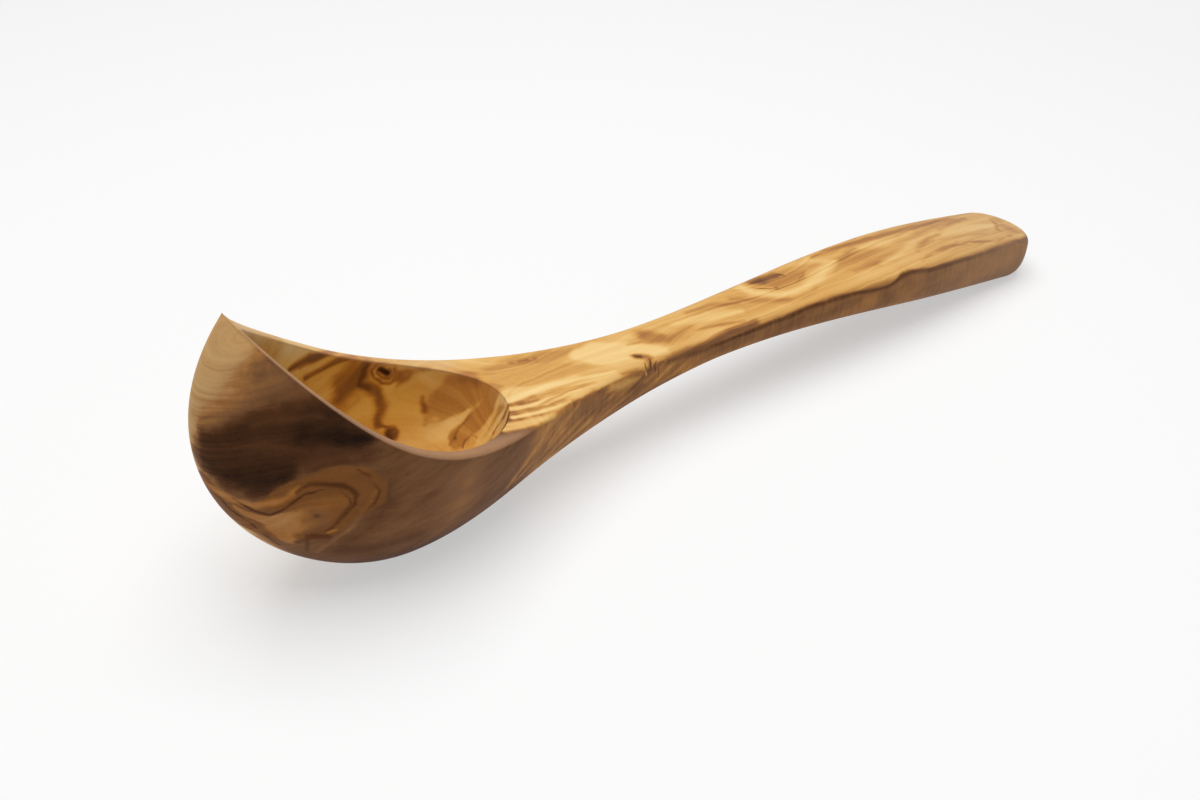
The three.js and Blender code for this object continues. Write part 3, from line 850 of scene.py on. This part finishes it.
def carving_tree(material):
    """The tree that carves the ladle from its sizes, and the identifiers of its inputs."""
    tree = bpy.data.node_groups.new("ladle_carving", "GeometryNodeTree")
    tree.interface.new_socket(name="Geometry", in_out="OUTPUT", socket_type="NodeSocketGeometry")
    identifiers = {}
    for name in (*SIZES, "knife_seed"):
        socket = tree.interface.new_socket(
            name=name.replace("_", " "), in_out="INPUT", socket_type="NodeSocketFloat"
        )
        identifiers[name] = socket.identifier
    bench = Bench(tree)
    outputs = bench.add("NodeGroupInput").socket.node.outputs
    size = SimpleNamespace(**{name: Wire(bench, outputs[name.replace("_", " ")]) for name in identifiers})
    line = carving_lines(size)

    def sheet(rows, facets, station):
        across = 2 * sum(facets) + 1
        sockets = {"Size X": 1.0, "Size Y": 2.0, "Vertices X": rows + 1, "Vertices Y": across}
        grid = bench.add("GeometryNodeMeshGrid", None, sockets)
        t, v, _ = bench.split(bench.add("GeometryNodeInputPosition"))
        point = row_point(v, station(t + 0.5, size, line), facets, line)
        return bench.add("GeometryNodeSetPosition", None, {"Geometry": grid, "Position": point})

    skin = sheet(SIDE_ROWS + END_ROWS, SKIN_FACETS, skin_station)
    skin = bench.add("GeometryNodeFlipFaces", None, {"Mesh": skin})
    hollow = sheet(HOLLOW_ROWS, HOLLOW_FACETS, hollow_station)
    joined = bench.add("GeometryNodeJoinGeometry", None, {"Geometry": skin})
    tree.links.new(hollow.socket, joined.socket.node.inputs["Geometry"])
    sewn = bench.add("GeometryNodeMergeByDistance", None, {"Geometry": joined, "Distance": SEWING_GAP})

    # The knife leaves a faint wave, which fades out at the flats that the ladle rests on
    place = bench.add("GeometryNodeInputPosition")
    wave = bench.add(
        "ShaderNodeTexNoise", {"noise_dimensions": "4D"},
        {"Vector": place, "W": size.knife_seed, "Scale": KNIFE_SCALE, "Detail": 1.0}, out="Fac",
    )
    depth = -size.knife_wave * wave * bench.split(place)[2].smooth(*FLAT_FADE)
    push = bench.scaled(bench.add("GeometryNodeInputNormal"), depth)
    waved = bench.add("GeometryNodeSetPosition", None, {"Geometry": sewn, "Offset": push})

    middle = bench.join(cad_box[1][0] - size.tip_to_end * MM, 0.0, 0.0)
    sockets = {"Geometry": waved, "Translation": middle, "Scale": (MM, MM, MM)}
    placed = bench.add("GeometryNodeTransform", None, sockets)
    smooth = bench.add("GeometryNodeSetShadeSmooth", None, {"Geometry": placed})
    real = bench.add("GeometryNodeRealizeInstances", None, {"Geometry": smooth})
    done = bench.add("GeometryNodeSetMaterial", None, {"Geometry": real, "Material": material})
    bench.add("NodeGroupOutput", None, {"Geometry": done})
    return tree, identifiers


def carve_ladle(material):
    """The ladle as a plain closed mesh."""
    tree, identifiers = carving_tree(material)
    blank = bpy.data.objects.new("ladle_blank", bpy.data.meshes.new("ladle_blank"))
    bpy.context.scene.collection.objects.link(blank)
    modifier = blank.modifiers.new("carving", "NODES")
    modifier.node_group = tree
    for name, value in {**SIZES, "knife_seed": KNIFE_SEED}.items():
        modifier[identifiers[name]] = value
    graph = bpy.context.evaluated_depsgraph_get()
    mesh = bpy.data.meshes.new_from_object(blank.evaluated_get(graph), depsgraph=graph)
    blank.modifiers.remove(modifier)
    bpy.data.objects.remove(blank)
    shell = bmesh.new()
    shell.from_mesh(mesh)
    bmesh.ops.dissolve_degenerate(shell, dist=SLIVER, edges=shell.edges)
    bmesh.ops.recalc_face_normals(shell, faces=shell.faces)
    for face in shell.faces:
        face.smooth = True
    shell.to_mesh(mesh)
    shell.free()
    mesh.name = "carved_ladle"
    ladle = bpy.data.objects.new("carved_ladle", mesh)
    bpy.context.scene.collection.objects.link(ladle)
    return ladle


def tool(name, inputs, work):
    """A small node group: the types of its named inputs, and the work that turns them into its result."""
    tree = bpy.data.node_groups.new(name, "ShaderNodeTree")
    for label, kind in inputs.items():
        tree.interface.new_socket(name=label, in_out="INPUT", socket_type="NodeSocket" + kind)
    tree.interface.new_socket(name="Result", in_out="OUTPUT", socket_type="NodeSocketFloat")
    bench = Bench(tree)
    outputs = bench.add("NodeGroupInput").socket.node.outputs
    wires = [Wire(bench, outputs[label]) for label in inputs]
    bench.add("NodeGroupOutput", None, {"Result": work(bench, *wires)})
    return tree


def reach_of(bench, place, start, way, pace, radius, taper, field):
    """How far a place lies outside a tapering stretch, or outside the field so far if that is nearer."""
    off = bench.vector("SUBTRACT", place, start)
    along = bench.vector("DOT_PRODUCT", off, pace, out="Value").clamped()
    reach = bench.vector("DISTANCE", off, bench.scaled(way, along), out="Value") - radius
    return along.times_plus(taper, reach).least(field)


def brushed(bench, tone, colour, soft, fray, field):
    """A tone with another laid over it, whose soft edge is frayed."""
    return mix_tone(bench, tone, colour, fray.times_plus(1.2, field / soft).smooth(1.0, -1.0))


def stroke_tools():
    vectors = dict.fromkeys(("Place", "Start", "Way", "Pace"), "Vector")
    numbers = dict.fromkeys(("Radius", "Taper", "Field"), "Float")
    stretch = tool("stretch", {**vectors, **numbers}, reach_of)
    brush = tool("brush", dict.fromkeys(("Tone", "Colour", "Soft", "Fray", "Field"), "Float"), brushed)
    return stretch, brush


def lay_strokes(bench, tone, strokes, place, fray, tools):
    """Strokes laid over a tone, one after the other."""
    stretch, brush = tools
    for soft, colour, path in strokes:
        field = FAR_AWAY
        for start, end in zip(path, path[1:] or path):
            way = Vector(end[:3]) - Vector(start[:3])
            pace = way / way.length_squared if way.length_squared else way
            field = bench.add("ShaderNodeGroup", {"node_tree": stretch}, {
                "Place": place, "Start": start[:3], "Way": way, "Pace": pace,
                "Radius": start[3], "Taper": start[3] - end[3], "Field": field,
            })
        tone = bench.add("ShaderNodeGroup", {"node_tree": brush}, {
            "Tone": tone, "Colour": colour, "Soft": soft, "Fray": fray, "Field": field,
        })
    return tone


def mix_tone(bench, tone, other, share):
    return bench.add("ShaderNodeMix", None, {0: share, 2: tone, 3: other})


def noise(bench, place, stretch, scale, detail, out="Fac"):
    """Noise whose grain is stretched along the ladle."""
    stretched = bench.vector("MULTIPLY", place, (1.0 / stretch, 1.0, 1.0))
    sockets = {"Vector": stretched, "Scale": scale, "Detail": detail}
    return bench.add("ShaderNodeTexNoise", None, sockets, out)


def ring_noise(bench, ring, scale, detail):
    """Noise that changes from ring to ring."""
    sockets = {"W": ring, "Scale": scale, "Detail": detail}
    return bench.add("ShaderNodeTexNoise", {"noise_dimensions": "1D"}, sockets, "Fac")


def olive_wood():
    """Oiled olive wood: honey sapwood, brown heartwood, knots and rings, through the whole billet."""
    material = bpy.data.materials.new("olive_wood")
    material.use_nodes = True
    bench = Bench(material.node_tree)
    shader = material.node_tree.nodes["Principled BSDF"]
    straight = bench.scaled(bench.add("ShaderNodeTexCoord", out="Object"), 1.0 / MM)

    # The grain wanders: wide swings first, then a finer wriggle
    middle = (0.5, 0.5, 0.5)
    wide = bench.vector("SUBTRACT", noise(bench, straight, 2.5, 0.045, 1.0, "Color"), middle)
    place = bench.vector("MULTIPLY_ADD", wide, WIDE_SWING, straight)
    fine = bench.vector("SUBTRACT", noise(bench, straight, 1.6, 0.16, 1.0, "Color"), middle)
    place = bench.vector("MULTIPLY_ADD", fine, FINE_SWING, place)
    wriggle = bench.vector("MULTIPLY_ADD", fine, STROKE_SWING, straight)
    fray = noise(bench, place, 3.0, 0.35, 2.0) - 0.5

    x, y, z = bench.split(straight)
    depth = top_line(SimpleNamespace(**SIZES))(x + TIP_OFFSET) - z

    # Tone: 0 is the palest sapwood, 1 the darkest heartwood
    tone = noise(bench, place, 6.0, 0.1, 2.0) * 0.5 + 0.045

    # Brown heartwood: the near wall of the bowl, and all below a dark wavy seam along the neck and handle
    neck = x.smooth(*FADES["neck"])
    grip = x.smooth(*FADES["grip"])
    slant = bench.join(x * 0.05 + z * 0.03, y * 0.08, z * 0.4 - x * 0.24)
    slant = (bench.add("ShaderNodeTexNoise", None, {"Vector": slant, "Scale": 1.0}, "Fac") - 0.5) * neck
    _, py, pz = bench.split(place)
    near = (py * 2.0 - y).smooth(-2.0, -9.0) * (x + slant * 30.0).smooth(*FADES["near_wall"])
    tone = mix_tone(bench, tone, HEARTWOOD_TONE, near)
    under = depth - fair_line(*SEAM)(x) + fray + slant * depth.smooth(0.8, 2.4) * 3.0
    far = y.smooth(0.0, 6.0)
    handle = x.smooth(*FADES["near_handle"])
    handle = mix_tone(bench, handle, (x + slant * 40.0).smooth(*FADES["far_handle"]), far)
    side = under.smooth(-0.3, 0.4) * handle
    patches = noise(bench, place, 2.0, 0.13, 2.0) - 0.5
    # The handle's far rounded edge: a little darker in tone here, and a painted sheen further on
    far_edge_sheen = depth.smooth(0.0, 0.7) * depth.smooth(5.0, 2.0) * far * grip
    tone = tone + (depth.smooth(0.2, 1.6) * 0.12 + far_edge_sheen * 0.16) * handle
    tone = mix_tone(bench, tone, SIDE_TONE + patches * 0.25 + slant * 0.5, side)
    tone = tone + abs(under - 0.6).smooth(1.3, 0.0) * handle * (1 - neck * 0.6) * 0.16
    # Painted shade: the near wall of the bowl darker towards its bottom, with slanting streaks
    tone = tone + (z.smooth(22.0, 4.0) * 0.08 + slant * 0.14) * near
    calm = 1 - (near + side).least(1.0) * 0.7

    tools = stroke_tools()
    warmth = lay_strokes(bench, 0.0, WARMTH, wriggle, fray, tools)
    tone = lay_strokes(bench, tone, STROKES, wriggle, fray, tools)

    # The rim, brown on the near side and golden on the far one, where the streaks cross it
    rim = (y + x.smooth(*FADES["rim_corner"]) * 17.5).smooth(-1.0, -5.0) + y.smooth(1.0, 5.0)
    rim = rim * depth.smooth(1.1, 0.5) * x.smooth(*FADES["rim"])
    close = y.smooth(4.0, -4.0)
    tone = mix_tone(bench, tone, close * 0.24 + 0.34, rim * (close * 0.45 + 0.35))

    # Growth rings about a pith along the bowl and grain that flows along the handle, bent round the knots
    ry = py - PITH[0]
    rz = pz - PITH[1]
    ring = ry.times_plus(ry, rz * rz).sqrt() / RING_WIDTH
    flow = (py * 0.9 + pz * 0.5) / GRAIN_WIDTH
    ring = mix_tone(bench, ring, flow, x.smooth(*FADES["flowing_grain"]))
    for centre, spread, lift in KNOTS:
        off = bench.vector("SUBTRACT", place, centre)
        off = bench.vector("DIVIDE", off, spread)
        square = bench.vector("DOT_PRODUCT", off, off, out="Value")
        ring = ring + lift * math.e ** -square
    bands = (ring_noise(bench, ring, 1.0, 1.0) - 0.5) * (0.22 + grip * 0.1)
    lines = ring_noise(bench, ring, 5.0, 2.0) - 0.5
    fibre = noise(bench, place, 14.0, 2.2, 2.0) - 0.5
    hatch = bench.vector("MULTIPLY", straight, (1.0, 0.25, 0.14))
    sockets = {"Vector": hatch, "Scale": 0.9, "Detail": 3.0}
    hatch = bench.add("ShaderNodeTexNoise", None, sockets, "Fac") - 0.5
    tip = x.smooth(*FADES["tip"])
    lines = lines * (0.09 + tip * 0.14 + grip * 0.06)
    tone = tone + (bands + lines) * calm + fibre * 0.07 + hatch * (0.02 + side * 0.15)
    tone = tone + patches * near * 0.12 + grip * 0.055

    # Redder in the hollow and the eye. Painted sheen on the rim, far edge and end; a duller pale tip
    colour = bench.add("ShaderNodeValToRGB", {"stops": TONES}, {"Fac": tone}, "Color")
    sockets = {0: warmth, 6: colour, 7: WARM_TINT}
    colour = bench.add("ShaderNodeMix", {"data_type": "RGBA", "blend_type": "MULTIPLY"}, sockets, out=2)
    # Painted sheen: the colour mixed toward pinkish grey on the rim, the far edge and the end
    sheen_and_dull = rim * 0.25 + far_edge_sheen * 0.4 + x.smooth(*FADES["end_sheen"]) * 0.28
    sheen_and_dull = sheen_and_dull + tip * tone.smooth(0.58, 0.38) * 0.3
    sockets = {0: sheen_and_dull, 6: colour, 7: SHEEN_AND_DULL_TINT}
    colour = bench.add("ShaderNodeMix", {"data_type": "RGBA"}, sockets, out=2)
    bench.tree.links.new(colour.socket, shader.inputs["Base Color"])
    rough = 0.5 + fibre * 0.1 + hatch * 0.08
    bench.tree.links.new(rough.socket, shader.inputs["Roughness"])
    shader.inputs["Specular IOR Level"].default_value = 0.05
    bump = bench.add("ShaderNodeBump", None, {
        "Height": fibre + hatch * 0.5, "Strength": 0.12, "Distance": 0.0003,
    })
    bench.tree.links.new(bump.socket, shader.inputs["Normal"])
    return material


def seen_rays(bench):
    """1 where the camera looks, also by way of a mirror or through glass."""
    outputs = bench.add("ShaderNodeLightPath").socket.node.outputs
    camera, glossy, passed = (
        Wire(bench, outputs[name]) for name in ("Is Camera Ray", "Is Glossy Ray", "Is Transmission Ray")
    )
    return (camera + glossy + passed).least(1.0)


def pale_floor(white_share):
    """A wide white floor. A share of what is seen of it is plain white, so the shadow on it is light."""
    material = bpy.data.materials.new("pale_floor")
    material.use_nodes = True
    bench = Bench(material.node_tree)
    nodes = material.node_tree.nodes
    shader = nodes["Principled BSDF"]
    shader.inputs["Base Color"].default_value = (0.92, 0.92, 0.92, 1.0)
    shader.inputs["Roughness"].default_value = 0.9
    shader.inputs["Specular IOR Level"].default_value = 0.1
    white = bench.add("ShaderNodeEmission", None, {"Color": (1.0, 1.0, 1.0, 1.0), "Strength": 1.0})
    seen = seen_rays(bench) * white_share
    sockets = {0: seen, 1: Wire(bench, shader.outputs[0]), 2: white}
    surface = bench.add("ShaderNodeMixShader", None, sockets)
    bench.tree.links.new(surface.socket, nodes["Material Output"].inputs["Surface"])
    shape = bmesh.new()
    bmesh.ops.create_grid(shape, x_segments=1, y_segments=1, size=4.0)
    mesh = bpy.data.meshes.new("floor")
    shape.to_mesh(mesh)
    shape.free()
    mesh.materials.append(material)
    floor = bpy.data.objects.new("floor", mesh)
    bpy.context.scene.collection.objects.link(floor)
    return floor


def softbox(name, place, target, width, power):
    light = bpy.data.lights.new(name, "AREA")
    light.shape = "SQUARE"
    light.size = width
    light.energy = power
    lamp = bpy.data.objects.new(name, light)
    lamp.location = place
    lamp.rotation_euler = (Vector(target) - Vector(place)).to_track_quat("-Z", "Y").to_euler()
    bpy.context.scene.collection.objects.link(lamp)


def studio_world(level):
    """An even dim light from all round. What is seen of it is plain white."""
    world = bpy.data.worlds.new("studio")
    world.use_nodes = True
    bpy.context.scene.world = world
    bench = Bench(world.node_tree)
    seen = seen_rays(bench)
    background = world.node_tree.nodes["Background"]
    background.inputs["Color"].default_value = (1.0, 1.0, 1.0, 1.0)
    bench.tree.links.new(lerp(level, 1.0, seen).socket, background.inputs["Strength"])


def aim_camera():
    """The photograph's view: three-quarters from the lip's side, looking down."""
    azimuth = math.radians(-36.542)
    elevation = math.radians(36.108)
    target = Vector((-37.015, -9.747, 25.0)) * MM
    distance = 439.056
    back = Vector((
        math.sin(azimuth) * math.cos(elevation),
        -math.cos(azimuth) * math.cos(elevation),
        math.sin(elevation),
    ))
    data = bpy.data.cameras.new("camera")
    data.sensor_fit = "HORIZONTAL"
    data.sensor_width = 36.0
    data.lens = 46.152
    camera = bpy.data.objects.new("camera", data)
    camera.location = target + back * distance * MM
    camera.rotation_euler = (-back).to_track_quat("-Z", "Y").to_euler()
    bpy.context.scene.collection.objects.link(camera)
    bpy.context.scene.camera = camera


bpy.context.scene.view_settings.view_transform = "Standard"
aim_camera()
studio_world(level=0.17)
softbox("overhead", place=(-0.06, 0.03, 1.05), target=(-0.03, 0.0, 0.0), width=1.0, power=12.2)
pale_floor(white_share=0.5)

ladle = carve_ladle(olive_wood())
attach(ladle, "root")
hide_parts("ladle")
